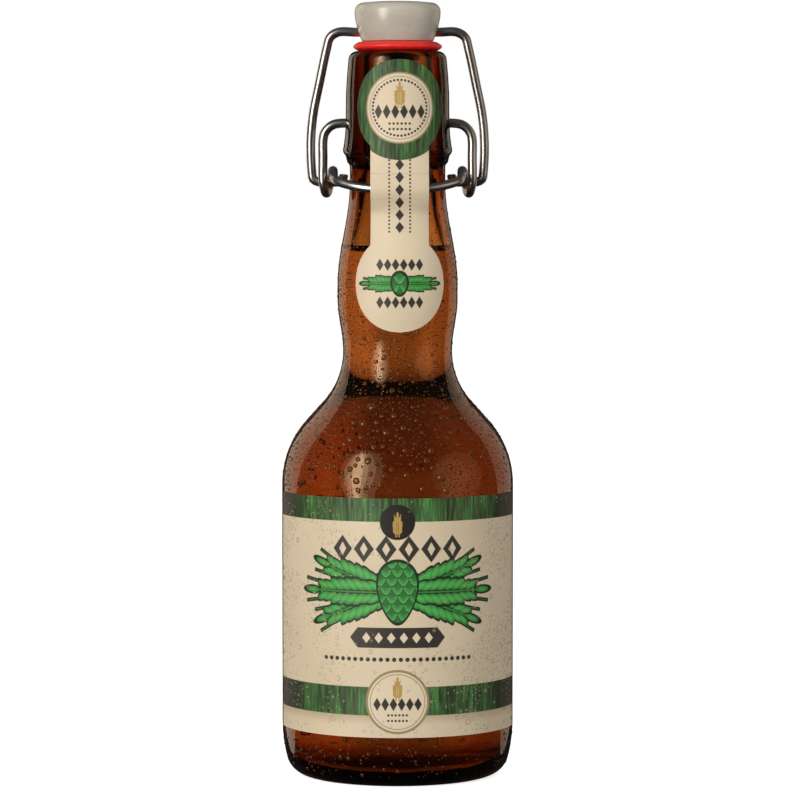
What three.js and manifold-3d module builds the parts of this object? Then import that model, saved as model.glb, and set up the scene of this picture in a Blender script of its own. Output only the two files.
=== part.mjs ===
// A small amber-glass beer bottle, filled and shut by a wire swing-top closure.
// Millimetres, +Z up, front of the labels towards -Y, origin at the middle of the bottle's foot.

import * as THREE from "three";
import { mergeVertices } from "three/addons/utils/BufferGeometryUtils.js";
import Module from "manifold-3d";

const wasm = await Module();
wasm.setup();

// Glass: outside radii and heights
const BODY_RADIUS = 33.75;
const SHOULDER_START = 85;
const SHOULDER_CURVE = 28;
const WAIST_RADIUS = 15.9;
const WAIST_Z = 124;
const WAIST_CURVE = 22;
const BULGE_RADIUS = 17.5;
const BULGE_BOTTOM = 139;
const BULGE_TOP = 143;
const NECK_RADIUS = 13.9;
const NECK_START = 173;
const HEAD_BOTTOM = 178.3;
const RIM_RADIUS = 15.9;
const RIM_Z = 182.2;
const HEAD_RADIUS = 15;
const MOUTH_RADIUS = 14.3;
const GLASS_TOP = 211;
const MOUTH_ROUNDING = 2.6;

// Glass: foot
const HEEL_TOP = 16;
const HEEL_TAPER_RADIUS = 45;
const HEEL_TURN = 14;
const PUSH_UP = 2.8;
const FOOT_INNER_RADIUS = 23.5;

// Glass: inside
const WALL = 2.6;
const FLOOR_Z = 6.4;
const FLOOR_EDGE_Z = 4.6;
const FLOOR_ROUNDING = 9;
const BORE_RADIUS = 8.4;
const BORE_BOTTOM = 181;
const INNER_NECK_RADIUS = 9.6;
const LIP_ROUNDING = 2;
const BEER_LEVEL = 154.5;
const BEER_GAP = 0.3;

// Paper labels
const PAPER_GAP = 0.1;
const PAPER = 0.25;
const LABEL_BOTTOM = 15;
const LABEL_TOP = 83.4;
const LABEL_HALF_ANGLE = 78.5;
const SEAL_DISC_RADIUS = 14;
const SEAL_HEAD_DISC_Z = 194.3;
const SEAL_NECK_DISC_Z = 143.9;
const SEAL_STRAP_WIDTH = 17.5;
const SEAL_OFFSET_X = 0.6;
const SEAL_FLAP_END = 175.6;
const SEAL_BRIDGE_TOP = 175.3;
const SEAL_BRIDGE_BOTTOM = 168.3;
const SEAL_NECK_TOP = 168;
const SEAL_LIFTS_OFF = 164;
const BRIDGE_FLATTENING = 1.32;

// Steel wire closure, the wires by their centrelines
const WIRE_RADIUS = 1.35;
const PIVOT_Z = 190.1;
const DIMPLE_INNER_X = 12.1;
const DIMPLE_RADIUS = 1.75;
const WIRE_END_X = 12.6;
const LEG_X = 21.7;
const EYE_Y = 2;
const EYE_Z = 173.1;
const EYE_RADIUS = 3.3;
const EYE_PITCH = 2.9;
const EYE_POINTS = 12;
const EYE_STEP = 25;
const LEG_BEND = 5;
const LOOP_FRONT = 15.7;
const LOOP_FRONT_Z = 171;
const LOOP_HALF_WIDTH = 21;
const LOOP_BEARINGS = [58, 42, 26, 10];
const LOOP_LIFT = 4.2;
const BAIL_WIRE_Z = 216.5;
const BAIL_CLEARANCE = 0.3;
const HOOK_TIP_X = 15.7;
const HOOK_TIP_Z = 175.3;
const HOOK_DROP_X = 17;
const BAIL_TOP_X = 12;
const BAIL_MIDDLE_X = 4;

// Half of the upper wire between hook and stopper: distance from the axis and height
const BAIL_SIDE = [
  [20, 173.1],
  [23.1, 173.1],
  [24.6, 173.9],
  [25, 176.1],
  [25.3, 184],
  [24.6, 192.5],
  [22.7, 202],
  [20.6, 211.8],
  [19.6, 215],
  [17.2, 216.5],
];

// Stopper and washer
const WASHER_BOTTOM = 211.2;
const WASHER_TOP = 213.6;
const WASHER_RADIUS = 12.9;
const WASHER_FACE_RADIUS = 11.7;
const WASHER_HOLE = 6.1;
const STOPPER_BOTTOM = 213.8;
const STOPPER_TOP = 225.4;
const STOPPER_FOOT_RADIUS = 10.4;
const STOPPER_HEAD_RADIUS = 12.7;
const STOPPER_ROUNDING = 2.6;
const BOSS_RADIUS = 5.8;
const BOSS_LIP_RADIUS = 6.6;
const BOSS_BOTTOM = 207.5;

// Fineness of the faces
const ROUND_SEGMENTS = 40;
const SMALL_SEGMENTS = 36;
const WIRE_SIDES = 8;
const WIRE_STEP = 2.1;

const radians = THREE.MathUtils.degToRad;
const point = (x, y) => new THREE.Vector2(x, y);

// Points of a circular arc in the plane of radius and height, angles in degrees.
function arc(centreX, centreY, radius, from, to, steps) {
  return Array.from({ length: steps + 1 }, (_, i) => {
    const angle = radians(THREE.MathUtils.lerp(from, to, i / steps));
    return point(centreX + radius * Math.cos(angle), centreY + radius * Math.sin(angle));
  });
}

// Points of a smooth rise from one radius and height to another, level at both ends.
function wave(fromRadius, fromZ, toRadius, toZ, steps) {
  return Array.from({ length: steps + 1 }, (_, i) => {
    const share = (1 - Math.cos((Math.PI * i) / steps)) / 2;
    return point(
      THREE.MathUtils.lerp(fromRadius, toRadius, share),
      THREE.MathUtils.lerp(fromZ, toZ, i / steps),
    );
  });
}

// The shoulder: a convex arc off the body and a concave one into the waist, joined by their common tangent.
function shoulder(inset, steps) {
  const convex = SHOULDER_CURVE - inset;
  const concave = WAIST_CURVE + inset;
  const lower = point(BODY_RADIUS - SHOULDER_CURVE, SHOULDER_START);
  const upper = point(WAIST_RADIUS + WAIST_CURVE, WAIST_Z);
  const apart = upper.clone().sub(lower);
  const reach = Math.acos((convex + concave) / apart.length());
  const tangent = THREE.MathUtils.radToDeg(apart.angle() - reach);
  return [
    ...arc(lower.x, lower.y, convex, 0, tangent, steps),
    ...arc(upper.x, upper.y, concave, 180 + tangent, 180, steps),
  ];
}

function foot() {
  const turn = radians(HEEL_TURN);
  const heelRadius = (HEEL_TOP - HEEL_TAPER_RADIUS * Math.sin(turn)) / (1 - Math.sin(turn));
  const heelCentre = BODY_RADIUS - HEEL_TAPER_RADIUS + (HEEL_TAPER_RADIUS - heelRadius) * Math.cos(turn);
  return [
    ...pushUp(PUSH_UP, 0, FOOT_INNER_RADIUS),
    ...arc(heelCentre, heelRadius, heelRadius, -90, -HEEL_TURN, 4),
    ...arc(BODY_RADIUS - HEEL_TAPER_RADIUS, HEEL_TOP, HEEL_TAPER_RADIUS, -HEEL_TURN, 0, 3).slice(1),
  ];
}

// A shallow dome from its crown on the axis down to its edge.
function pushUp(crownZ, edgeZ, edgeRadius) {
  const rise = crownZ - edgeZ;
  const sphere = (edgeRadius ** 2 + rise ** 2) / (2 * rise);
  const half = THREE.MathUtils.radToDeg(Math.asin(edgeRadius / sphere));
  return arc(0, crownZ - sphere, sphere, 90, 90 - half, 3);
}

function neck() {
  return [
    ...wave(WAIST_RADIUS, WAIST_Z, BULGE_RADIUS, BULGE_BOTTOM, 4).slice(1),
    ...wave(BULGE_RADIUS, BULGE_TOP, NECK_RADIUS, NECK_START, 7),
  ];
}

// The thick head of the glass: flared rim, long taper, rounded mouth.
function head() {
  return [
    point(NECK_RADIUS, HEAD_BOTTOM),
    point(NECK_RADIUS + 0.5, HEAD_BOTTOM + 1.1),
    point(RIM_RADIUS - 0.3, RIM_Z - 1.4),
    point(RIM_RADIUS, RIM_Z),
    point(RIM_RADIUS - 0.3, RIM_Z + 1.8),
    point(HEAD_RADIUS + 0.2, RIM_Z + 5),
    point(HEAD_RADIUS, GLASS_TOP - 12),
    ...arc(MOUTH_RADIUS - MOUTH_ROUNDING, GLASS_TOP - MOUTH_ROUNDING, MOUTH_ROUNDING, 0, 90, 4),
    ...arc(BORE_RADIUS + LIP_ROUNDING, GLASS_TOP - LIP_ROUNDING, LIP_ROUNDING, 90, 180, 3),
  ];
}

// The inside of the glass from the floor's crown to the bore, drawn in by a gap.
function inside(gap) {
  const inset = WALL + gap;
  const cornerRadius = BODY_RADIUS - WALL - FLOOR_ROUNDING;
  return [
    ...pushUp(FLOOR_Z + gap, FLOOR_EDGE_Z + gap, cornerRadius),
    ...arc(cornerRadius, FLOOR_EDGE_Z + FLOOR_ROUNDING, FLOOR_ROUNDING - gap, -90, 0, 3).slice(1),
    ...shoulder(inset, 4),
    ...wave(WAIST_RADIUS - inset, WAIST_Z, BULGE_RADIUS - inset, BULGE_BOTTOM, 3).slice(1),
    ...wave(BULGE_RADIUS - inset, BULGE_TOP, INNER_NECK_RADIUS - gap, NECK_START, 5),
    point(BORE_RADIUS - gap, BORE_BOTTOM),
  ];
}

const OUTSIDE = [...foot(), ...shoulder(0, 6), ...neck(), ...head()];

// A body of revolution about the Z axis from a profile of radius and height.
function turned(profile, segments = ROUND_SEGMENTS) {
  return new THREE.LatheGeometry(profile, segments).rotateX(Math.PI / 2);
}

function solid(geometry) {
  const bare = geometry.clone();
  bare.deleteAttribute("normal");
  bare.deleteAttribute("uv");
  const merged = mergeVertices(bare, 1e-3);
  return new wasm.Manifold(
    new wasm.Mesh({
      numProp: 3,
      vertProperties: merged.attributes.position.array,
      triVerts: new Uint32Array(merged.index.array),
    }),
  );
}

function geometryOf(manifold) {
  const mesh = manifold.getMesh();
  const geometry = new THREE.BufferGeometry();
  geometry.setAttribute("position", new THREE.BufferAttribute(mesh.vertProperties, 3));
  geometry.setIndex(new THREE.BufferAttribute(mesh.triVerts, 1));
  geometry.computeVertexNormals();
  return geometry;
}

// A round bar along X.
function barAlongX(radius, fromX, toX, z) {
  return new THREE.CylinderGeometry(radius, radius, toX - fromX, 16)
    .rotateZ(Math.PI / 2)
    .translate((fromX + toX) / 2, 0, z);
}

function bottleGlass() {
  const blank = solid(turned([...OUTSIDE, ...inside(0).reverse()]));
  const reach = RIM_RADIUS + 1;
  return geometryOf(
    blank
      .subtract(solid(barAlongX(DIMPLE_RADIUS, DIMPLE_INNER_X, reach, PIVOT_Z)))
      .subtract(solid(barAlongX(DIMPLE_RADIUS, -reach, -DIMPLE_INNER_X, PIVOT_Z))),
  );
}

function beerFill() {
  const wall = inside(BEER_GAP);
  const wet = wall.filter((p) => p.y < BEER_LEVEL);
  const below = wet[wet.length - 1];
  const above = wall[wet.length];
  const share = (BEER_LEVEL - below.y) / (above.y - below.y);
  const edge = point(THREE.MathUtils.lerp(below.x, above.x, share), BEER_LEVEL);
  return turned([...wet, edge, point(0, BEER_LEVEL)], SMALL_SEGMENTS);
}

function frontLabel() {
  const inner = BODY_RADIUS + PAPER_GAP;
  const middle = -Math.PI / 2;
  const half = radians(LABEL_HALF_ANGLE);
  const section = new THREE.Shape();
  section.absarc(0, 0, inner + PAPER, middle - half, middle + half, false);
  section.absarc(0, 0, inner, middle + half, middle - half, true);
  return new THREE.ExtrudeGeometry(section, {
    depth: LABEL_TOP - LABEL_BOTTOM,
    bevelEnabled: false,
    curveSegments: 24,
  }).translate(0, 0, LABEL_BOTTOM);
}

// A thin sleeve that stands off a line of radius and height by the paper's gap.
function sleeve(line) {
  const shifted = (by) => line.map((p) => point(p.x + by, p.y));
  const loop = [...shifted(PAPER_GAP + PAPER), ...shifted(PAPER_GAP).reverse()];
  return turned([...loop, loop[0]]);
}

// The front view of a disc or strap of paper wrapped round a glass of some radius.
function wrappedX(across, radius) {
  return SEAL_OFFSET_X + radius * Math.sin(across / radius);
}

function discOutline(radius, z) {
  return arc(0, 0, SEAL_DISC_RADIUS, 0, 345, 23).map((p) => point(wrappedX(p.x, radius), z + p.y));
}

function strapOutline(radius, bottom, top) {
  const half = SEAL_STRAP_WIDTH / 2;
  return [
    point(wrappedX(-half, radius), bottom),
    point(wrappedX(half, radius), bottom),
    point(wrappedX(half, radius), top),
    point(wrappedX(-half, radius), top),
  ];
}

// A prism that cuts an outline of the front view out of a sleeve.
function cutter(outline) {
  const depth = 2 * RIM_RADIUS;
  return solid(
    new THREE.ExtrudeGeometry(new THREE.Shape(outline), { depth, bevelEnabled: false }).rotateX(Math.PI / 2),
  );
}

const between = (line, low, high) => line.filter((p) => p.y > low && p.y < high);

function sealHead() {
  const line = [
    point(RIM_RADIUS + 0.9, SEAL_FLAP_END),
    point(RIM_RADIUS, RIM_Z),
    ...between(OUTSIDE, RIM_Z + 1, GLASS_TOP - MOUTH_ROUNDING + 0.5).filter((p) => p.x > HEAD_RADIUS - 1),
  ];
  const outline = cutter(discOutline(HEAD_RADIUS, SEAL_HEAD_DISC_Z)).add(
    cutter(strapOutline(RIM_RADIUS, SEAL_FLAP_END, SEAL_HEAD_DISC_Z)),
  );
  return geometryOf(solid(sleeve(line)).intersect(outline));
}

// The short piece of strap that lies over the lever wire and comes away with it.
function sealBridge() {
  const line = [
    point(LOOP_FRONT + WIRE_RADIUS - 0.6, SEAL_BRIDGE_BOTTOM),
    point(LOOP_FRONT + WIRE_RADIUS + 0.05, LOOP_FRONT_Z - 1),
    point(LOOP_FRONT + WIRE_RADIUS + 0.05, LOOP_FRONT_Z + 1),
    point(RIM_RADIUS + 0.85, SEAL_BRIDGE_TOP),
  ];
  const oval = sleeve(line).scale(BRIDGE_FLATTENING, 1, 1);
  return geometryOf(
    solid(oval).intersect(cutter(strapOutline(LOOP_FRONT, SEAL_BRIDGE_BOTTOM - 1, SEAL_BRIDGE_TOP + 1))),
  );
}

function sealNeck() {
  const line = [
    ...between(OUTSIDE, WAIST_Z, SEAL_LIFTS_OFF),
    point(LOOP_FRONT - 0.3, SEAL_NECK_TOP - 1.6),
    point(LOOP_FRONT + 0.3, SEAL_NECK_TOP),
  ];
  const outline = cutter(discOutline(BULGE_RADIUS, SEAL_NECK_DISC_Z)).add(
    cutter(strapOutline(LOOP_FRONT, SEAL_NECK_DISC_Z, SEAL_NECK_TOP)),
  );
  return geometryOf(solid(sleeve(line)).intersect(outline));
}

// A bent wire: half of its centreline, mirrored in X and swept with a round section.
function bentWire(half) {
  const otherHalf = half.map((p) => new THREE.Vector3(-p.x, p.y, p.z)).reverse();
  const path = new THREE.CatmullRomCurve3([...half, ...otherHalf], false, "centripetal");
  path.arcLengthDivisions = 1200;
  const section = new THREE.Shape(arc(0, 0, WIRE_RADIUS, 0, 360 - 360 / WIRE_SIDES, WIRE_SIDES - 1));
  const steps = Math.round(path.getLength() / WIRE_STEP);
  return new THREE.ExtrudeGeometry(section, { steps, extrudePath: path, bevelEnabled: false });
}

// The lower wire: out of the dimple, down the leg, once round the eye, then forward round the neck.
function lowerBail() {
  const legY = EYE_Y - EYE_RADIUS;
  const corner = arc(LEG_X - LEG_BEND, PIVOT_Z - LEG_BEND, LEG_BEND, 90, 0, 4);
  const eye = Array.from({ length: EYE_POINTS }, (_, i) => {
    const angle = radians(180 + EYE_STEP * i);
    const x = LEG_X - (EYE_PITCH * i) / (EYE_POINTS - 1);
    return new THREE.Vector3(x, EYE_Y + EYE_RADIUS * Math.cos(angle), EYE_Z + EYE_RADIUS * Math.sin(angle));
  });
  const loop = LOOP_BEARINGS.map((degrees) => {
    const angle = radians(degrees);
    const y = -LOOP_FRONT * Math.cos(angle);
    const lift = LOOP_LIFT * Math.sin(angle) ** 3;
    return new THREE.Vector3(LOOP_HALF_WIDTH * Math.sin(angle), y, LOOP_FRONT_Z + lift);
  });
  return bentWire([
    new THREE.Vector3(WIRE_END_X, 0, PIVOT_Z),
    ...corner.map((p) => new THREE.Vector3(p.x, 0, p.y)),
    new THREE.Vector3(LEG_X, legY / 2, PIVOT_Z - 2 * LEG_BEND),
    ...eye,
    ...loop,
  ]);
}

// The upper wire: hooked tip, through the eye, up the side, over and through the stopper.
function upperBail() {
  const lean = (z) => (EYE_Y * (BAIL_WIRE_Z - z)) / (BAIL_WIRE_Z - EYE_Z);
  const line = [
    point(HOOK_TIP_X, HOOK_TIP_Z),
    point(HOOK_TIP_X + 0.2, EYE_Z + 0.9),
    point(HOOK_DROP_X, EYE_Z),
    ...BAIL_SIDE.map(([x, z]) => point(x, z)),
    point(BAIL_TOP_X, BAIL_WIRE_Z),
    point(BAIL_MIDDLE_X, BAIL_WIRE_Z),
  ];
  return bentWire(line.map((p) => new THREE.Vector3(p.x, lean(p.y), p.y)));
}

function stopper() {
  const roundingZ = STOPPER_TOP - STOPPER_ROUNDING - 0.3;
  const profile = [
    point(0, BOSS_BOTTOM),
    point(BOSS_LIP_RADIUS - 1, BOSS_BOTTOM),
    point(BOSS_LIP_RADIUS, BOSS_BOTTOM + 0.9),
    point(BOSS_LIP_RADIUS, BOSS_BOTTOM + 2.2),
    point(BOSS_RADIUS, BOSS_BOTTOM + 3),
    point(BOSS_RADIUS, STOPPER_BOTTOM),
    point(STOPPER_FOOT_RADIUS - 0.4, STOPPER_BOTTOM),
    point(STOPPER_FOOT_RADIUS, STOPPER_BOTTOM + 0.4),
    ...arc(STOPPER_HEAD_RADIUS - STOPPER_ROUNDING, roundingZ, STOPPER_ROUNDING, -8, 78, 4),
    point(0, STOPPER_TOP),
  ];
  const reach = STOPPER_HEAD_RADIUS + 1;
  const hole = barAlongX(WIRE_RADIUS + BAIL_CLEARANCE, -reach, reach, BAIL_WIRE_Z);
  return geometryOf(solid(turned(profile, SMALL_SEGMENTS)).subtract(solid(hole)));
}

function washer() {
  const middle = (WASHER_BOTTOM + WASHER_TOP) / 2;
  const loop = [
    point(WASHER_HOLE, WASHER_BOTTOM),
    point(WASHER_FACE_RADIUS, WASHER_BOTTOM),
    point(WASHER_RADIUS - 0.3, middle - 0.6),
    point(WASHER_RADIUS, middle),
    point(WASHER_RADIUS - 0.3, middle + 0.6),
    point(WASHER_FACE_RADIUS, WASHER_TOP),
    point(WASHER_HOLE, WASHER_TOP),
    point(WASHER_HOLE, WASHER_BOTTOM),
  ];
  return turned(loop, SMALL_SEGMENTS);
}

function part(name, geometry, color, roughness, metalness = 0) {
  const mesh = new THREE.Mesh(geometry, new THREE.MeshStandardMaterial({ color, roughness, metalness }));
  mesh.name = name;
  return mesh;
}

const bottle = new THREE.Group();
bottle.add(
  part("bottle", bottleGlass(), 0x5a2a0c, 0.06),
  part("beer", beerFill(), 0x9c4a10, 0.1),
  part("front_label", frontLabel(), 0xd8c9ae, 0.7),
  part("seal_head", sealHead(), 0x3f7f4a, 0.65),
  part("seal_neck", sealNeck(), 0xd8c9ae, 0.7),
);

const closure = new THREE.Group();
closure.add(
  part("lower_bail", lowerBail(), 0x8b8c8e, 0.32, 1),
  part("seal_bridge", sealBridge(), 0xd8c9ae, 0.7),
  part("upper_bail", upperBail(), 0x8b8c8e, 0.32, 1),
  part("stopper", stopper(), 0xc9c4ba, 0.25),
  part("washer", washer(), 0xc81e1c, 0.5),
);

const beerBottle = new THREE.Group();
beerBottle.add(bottle, closure);
export default beerBottle;
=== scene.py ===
# %% [markdown]
# # A small swing-top bottle of beer
# The bottle is amber glass with a waisted neck, filled with beer and shut by a stopper on bent steel wires.
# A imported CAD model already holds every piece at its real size. This script keeps that frame and builds the
# looks round it: smooth glass, the drink, printed paper, wires, rubber, and the dew of a cold bottle.
# The frame is loaded first, and its box is kept, because nothing added later may leave it.

import math
import random

import bmesh
import bpy
from mathutils import Matrix, Vector, noise


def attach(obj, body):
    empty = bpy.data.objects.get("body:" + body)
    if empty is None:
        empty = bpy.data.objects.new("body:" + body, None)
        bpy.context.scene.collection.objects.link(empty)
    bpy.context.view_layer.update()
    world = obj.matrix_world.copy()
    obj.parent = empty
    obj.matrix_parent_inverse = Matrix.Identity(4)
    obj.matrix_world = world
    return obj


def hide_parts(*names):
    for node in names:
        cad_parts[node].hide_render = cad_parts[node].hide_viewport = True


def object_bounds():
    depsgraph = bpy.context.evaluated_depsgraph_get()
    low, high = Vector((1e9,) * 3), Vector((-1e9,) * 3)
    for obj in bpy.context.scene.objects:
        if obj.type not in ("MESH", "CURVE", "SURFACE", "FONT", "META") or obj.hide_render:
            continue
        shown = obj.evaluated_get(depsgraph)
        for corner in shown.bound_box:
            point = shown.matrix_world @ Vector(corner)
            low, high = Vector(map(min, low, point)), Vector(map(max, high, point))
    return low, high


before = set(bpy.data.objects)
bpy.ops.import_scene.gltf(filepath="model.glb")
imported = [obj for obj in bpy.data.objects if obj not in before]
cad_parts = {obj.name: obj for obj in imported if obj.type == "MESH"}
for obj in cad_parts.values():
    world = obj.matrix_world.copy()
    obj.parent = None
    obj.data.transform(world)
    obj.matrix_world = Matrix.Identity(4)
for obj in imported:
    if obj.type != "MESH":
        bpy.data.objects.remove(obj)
cad_low, cad_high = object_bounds()
MM = 0.001

# %% [markdown]
# ## Camera
# The photograph was taken from a little over a metre away, with the eye level with the wire round the neck
# and the lens turned down by about three degrees. A long lens of 175 mm gives the same flat perspective.

# %% Camera
EYE = Vector((0.0007, -1.137, 0.1728))
AIM = Vector((0.0007, 0, 0.1095))
LENS_MM = 175.5

scene = bpy.context.scene


def add(name, data):
    """A new object in the scene, at the origin."""
    made = bpy.data.objects.new(name, data)
    scene.collection.objects.link(made)
    return made


camera = add("camera", bpy.data.cameras.new("camera"))
camera.location = EYE
camera.rotation_euler = (AIM - EYE).to_track_quat("-Z", "Y").to_euler()
camera.data.lens = LENS_MM
scene.camera = camera
print("camera looks down by", round(math.degrees(math.atan2(EYE.z - AIM.z, -EYE.y)), 2), "degrees")

# %% [markdown]
# ## Shader maths as expressions
# A material here is a small program. `Value` wraps one socket, so that `1 - mask` adds a Math node by itself,
# and `Finish.node` adds any other node. That keeps a pattern readable: it looks like the formula it is.


# %% Value: a socket that can be calculated with
class Value:
    def __init__(self, finish, socket):
        self.finish = finish
        self.socket = socket

    def _math(self, operation, *others):
        return self.finish.node("ShaderNodeMath", {"operation": operation}, dict(enumerate((self, *others))))

    def _flipped(self, operation, other):
        return self.finish.node("ShaderNodeMath", {"operation": operation}, {0: other, 1: self})

    def __add__(self, other):
        return self._math("ADD", other)

    def __sub__(self, other):
        return self._math("SUBTRACT", other)

    def __mul__(self, other):
        return self._math("MULTIPLY", other)

    def __truediv__(self, other):
        return self._math("DIVIDE", other)

    def __pow__(self, other):
        return self._math("POWER", other)

    def __rsub__(self, other):
        return self._flipped("SUBTRACT", other)

    def __rtruediv__(self, other):
        return self._flipped("DIVIDE", other)

    def __neg__(self):
        return self * -1

    __radd__ = __add__
    __rmul__ = __mul__

    def __abs__(self):
        return self._math("ABSOLUTE")

    def __or__(self, other):
        return self._math("MAXIMUM", other)

    def __and__(self, other):
        return self._math("MINIMUM", other)

    def rest(self):
        return self._math("FRACT")

    def cell(self):
        return self._math("FLOOR")

    def angle_to(self, other):
        return self._math("ARCTAN2", other)

    def rise(self, low, high):
        """0 below low, 1 above high, smooth between; with low above high it falls instead."""
        sign = 1 if high > low else -1
        inputs = {0: self * sign, 1: low * sign, 2: high * sign}
        return self.finish.node("ShaderNodeMapRange", {"interpolation_type": "SMOOTHSTEP"}, inputs)


# %% Finish: one material and its nodes
class Finish:
    def __init__(self, name, tree=None):
        self.material = None if tree else bpy.data.materials.new(name)
        if self.material:
            self.material.use_nodes = True
        self.tree = tree or self.material.node_tree
        self.tree.nodes.clear()

    def node(self, kind, settings=None, inputs=None, output=0):
        made = self.tree.nodes.new(kind)
        for key, value in (settings or {}).items():
            if key == "stops":
                for stop in value[2:]:
                    made.color_ramp.elements.new(stop[0])
                for element, (place, colour) in zip(made.color_ramp.elements, value):
                    element.position = place
                    element.color = (*colour, 1)
            else:
                setattr(made, key, value)
        for key, value in (inputs or {}).items():
            if isinstance(value, Value):
                self.tree.links.new(value.socket, made.inputs[key])
            else:
                made.inputs[key].default_value = value
        return Value(self, made.outputs[output])

    def mix(self, share, low, high):
        """Colour low where share is 0 and colour high where it is 1."""
        colours = [c if isinstance(c, Value) else (*c, 1) for c in (low, high)]
        return self.node("ShaderNodeMix", {"data_type": "RGBA"}, {0: share, 6: colours[0], 7: colours[1]}, 2)

    def split(self, vector, count=3):
        return [self.node("ShaderNodeSeparateXYZ", None, {0: vector}, i) for i in range(count)]

    def place(self):
        """The three Object coordinates, in millimetres."""
        return [part / MM for part in self.split(self.node("ShaderNodeTexCoord", output=3))]

    def vector(self, x, y, z=0.0):
        return self.node("ShaderNodeCombineXYZ", None, {0: x, 1: y, 2: z})

    def noise(self, at, scale=1.0, detail=2.0, roughness=0.5):
        inputs = {"Vector": at, "Scale": scale, "Detail": detail, "Roughness": roughness}
        return self.node("ShaderNodeTexNoise", None, inputs)

    def bump(self, height, strength, distance_mm):
        inputs = {"Strength": strength, "Distance": distance_mm * MM, "Height": height}
        return self.node("ShaderNodeBump", None, inputs)

    def shade(self, volume=None, **sockets):
        """The Principled shader, with its sockets given by name, and the material's output."""
        inputs = {name.replace("_", " "): value for name, value in sockets.items()}
        inputs = {k: (*v, 1) if isinstance(v, tuple) else v for k, v in inputs.items()}
        surface = self.node("ShaderNodeBsdfPrincipled", None, inputs)
        links = {"Surface": surface}
        if volume:
            colour, density = volume
            depth = {"Color": (*colour, 1), "Density": density}
            links["Volume"] = self.node("ShaderNodeVolumeAbsorption", None, depth)
        self.node_out(links)
        return self.material

    def node_out(self, links):
        out = self.tree.nodes.new("ShaderNodeOutputMaterial")
        for name, value in links.items():
            self.tree.links.new(value.socket, out.inputs[name])


print("shader helpers ready")

# %% [markdown]
# ## Studio
# The photograph is lit by tall soft lights beside and behind the bottle, on plain white. Glass shows what
# stands round it, so the surroundings matter more than the lamps: the sky is white to the lens, bright behind
# the glass, and dim to reflections, which leaves the glass its dark edge between white streaks.


# %% Sky
def sky_light():
    world = bpy.data.worlds.new("studio")
    scene.world = world
    world.use_nodes = True
    sky = Finish("studio", world.node_tree)
    light_path = sky.tree.nodes.new("ShaderNodeLightPath")
    x, y, up = sky.split(sky.node("ShaderNodeTexCoord", output=0))
    sideways = abs(x).angle_to(y)
    from_below = up.rise(-0.9, -0.1)
    panels = sideways.rise(0.08, 0.32) * 0.52 + 0.36
    darker_left = x.rise(-0.4, 0.1) * 0.4 + 0.6
    behind = panels * sideways.rise(1.0, 0.6) * (from_below * 0.8 + 0.2) * darker_left
    beside = sideways.rise(1.45, 1.7) * (from_below * 0.3 + 0.32)
    seen = (behind + beside) * up.rise(0.55, 0.15)
    through = sky.mix(seen, (0.012, 0.009, 0.007), (2.15, 1.68, 1.2))
    mirrored = sky.mix(up.rise(0.15, 0.8), (0.022, 0.02, 0.019), (0.07, 0.068, 0.064))
    soft = sky.mix(x.rise(-0.8, 0.8), (0.34, 0.335, 0.33), (0.37, 0.365, 0.355))
    colour = mirrored
    for rays, sent in (("Transmission", through), ("Diffuse", soft), ("Camera", (1.0, 1.0, 1.0))):
        colour = sky.mix(Value(sky, light_path.outputs[f"Is {rays} Ray"]), colour, sent)
    background = sky.node("ShaderNodeBackground", None, {0: colour})
    out = sky.tree.nodes.new("ShaderNodeOutputWorld")
    sky.tree.links.new(background.socket, out.inputs["Surface"])


sky_light()


# %% Soft lights
def soft_box(name, bearing, distance, height, size, radiance, tint=(1, 1, 1), mirrored=True):
    """A round light facing the bottle; bearing is from the camera's side, clockwise seen from above."""
    lamp = bpy.data.lights.new(name, "AREA")
    lamp.shape = "ELLIPSE"
    lamp.size, lamp.size_y = size
    lamp.energy = radiance * math.pi * size[0] * size[1] * math.pi / 4
    lamp.color = tint
    light = add(name, lamp)
    angle = math.radians(bearing)
    light.location = (-distance * math.sin(angle), -distance * math.cos(angle), height)
    light.rotation_euler = (LIT_POINT - light.location).to_track_quat("-Z", "Y").to_euler()
    light.visible_camera = False
    light.visible_transmission = False
    light.visible_glossy = mirrored


LIT_POINT = Vector((0, 0, 0.12))
WARM = (1.0, 0.93, 0.83)
AMBER = (1.0, 0.82, 0.64)
# Name, bearing, distance, height, width and height of the light, radiance, tint, and whether it is mirrored
for settings in (
    ("rim_left", 135, 0.8, 0.25, (0.6, 1.0), 1.0, AMBER),
    ("rim_right", -135, 0.8, 0.25, (0.6, 1.0), 0.55, AMBER),
    ("key_left_edge", 38, 1.02, 0.36, (0.8, 1.15), 0.9, WARM),
    ("key_left_middle", 39, 1.01, 0.36, (0.58, 1.05), 1.6, WARM),
    ("key_left", 40, 1.0, 0.36, (0.4, 0.95), 2.4, WARM),
    ("key_left_core", 40, 0.99, 0.36, (0.2, 0.85), 4.6, WARM),
    ("key_right_edge", -64, 1.02, 0.3, (1.1, 0.9), 0.36, AMBER),
    ("key_right", -58, 1.0, 0.3, (0.6, 0.7), 0.34, AMBER),
    ("fill", -2, 0.8, 0.5, (0.8, 0.8), 1.75, (1, 1, 1), False),
    ("top", -25, 0.8, 1.0, (0.5, 0.5), 1.1, (1, 1, 1), False),
):
    soft_box(*settings)


# %% Floor
FLOOR_R = 4


def mesh_from(name, bm):
    mesh = bpy.data.meshes.new(name)
    bm.to_mesh(mesh)
    bm.free()
    return mesh


def floor_finish():
    finish = Finish("pale_floor")
    x, y, z = finish.place()
    grain = finish.noise(finish.vector(x, y, z), 0.02)
    pale = finish.mix(grain, (0.9, 0.9, 0.9), (0.93, 0.93, 0.93))
    return finish.shade(Base_Color=pale, Roughness=0.8, Emission_Color=(1.0, 1.0, 1.0), Emission_Strength=0.8)


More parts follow.
